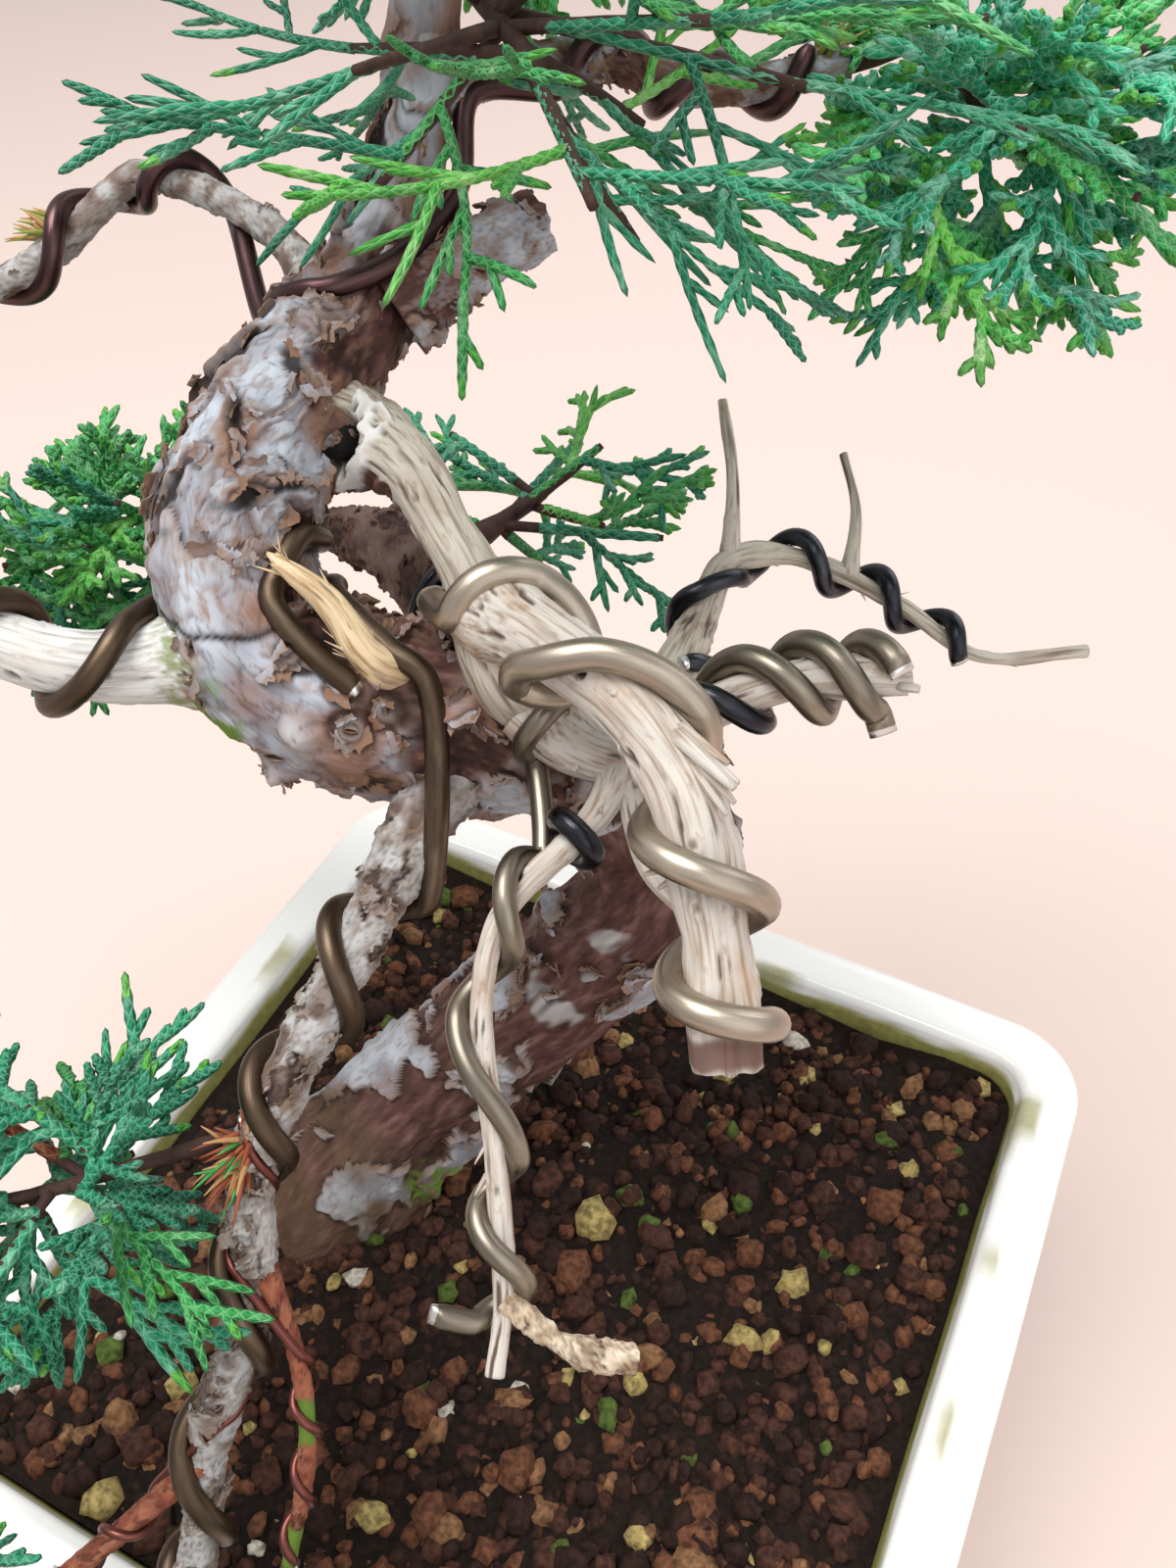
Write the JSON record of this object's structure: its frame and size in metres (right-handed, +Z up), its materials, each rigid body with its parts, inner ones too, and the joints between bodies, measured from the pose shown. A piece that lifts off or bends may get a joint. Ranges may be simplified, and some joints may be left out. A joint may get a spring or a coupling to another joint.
{
  "type": "bonsai juniper in pot",
  "caption": "Small wired juniper with a bent trunk, bare dead limbs and sprays of scale foliage, planted in a square white pot.",
  "frame": {"origin": "middle of the pot's flat underside", "axes": "+Z up through the pot and the tree; +X and +Y along the pot's sides, the tree's front looking towards -Y and a little towards +X"},
  "size_m": [0.2044, 0.2131, 0.2982],
  "materials": {
    "bark": "flaking juniper bark",
    "dead_wood": "weathered bare wood",
    "bronze_wire": "bronze anodised",
    "black_wire": "black anodised",
    "foliage": "waxy scale leaves",
    "glaze": "white glaze",
    "soil": "loose fired clay and lava granules"
  },
  "bodies": {
    "root": {"trunk": "bark", "dead_arch": "dead_wood", "front_jin": "dead_wood", "right_jin": "dead_wood", "hanging_jin": "dead_wood", "hanging_spur": "dead_wood", "barked_twig": "dead_wood", "left_jin": "dead_wood", "torn_stub": "dead_wood", "rear_jin": "dead_wood", "rear_twig_left": "dead_wood", "rear_twig_right": "dead_wood", "low_bough": "bark", "low_twig_right": "bark", "low_twig_left": "bark", "left_bough": "bark", "fork_stub": "bark", "right_bough": "bark", "rear_bough": "bark", "front_jin_wire": "bronze_wire", "right_jin_wire": "bronze_wire", "right_jin_wire_end": "bronze_wire", "black_jin_wire": "black_wire", "hanging_jin_wire": "bronze_wire", "low_bough_wire": "bronze_wire", "trunk_wire_end": "bronze_wire", "crown_wire": "bronze_wire", "rear_jin_wire": "black_wire", "rear_bough_wire": "black_wire", "crown_front": "foliage", "crown_top": "foliage", "crown_back": "foliage", "crown_right": "foliage", "crown_left": "foliage", "rear_left": "foliage", "rear_right": "foliage", "low_left": "foliage", "low_front": "foliage", "low_right": "foliage", "low_corner": "foliage", "pot": "glaze", "soil": "soil"}
  },
  "joints": []
}
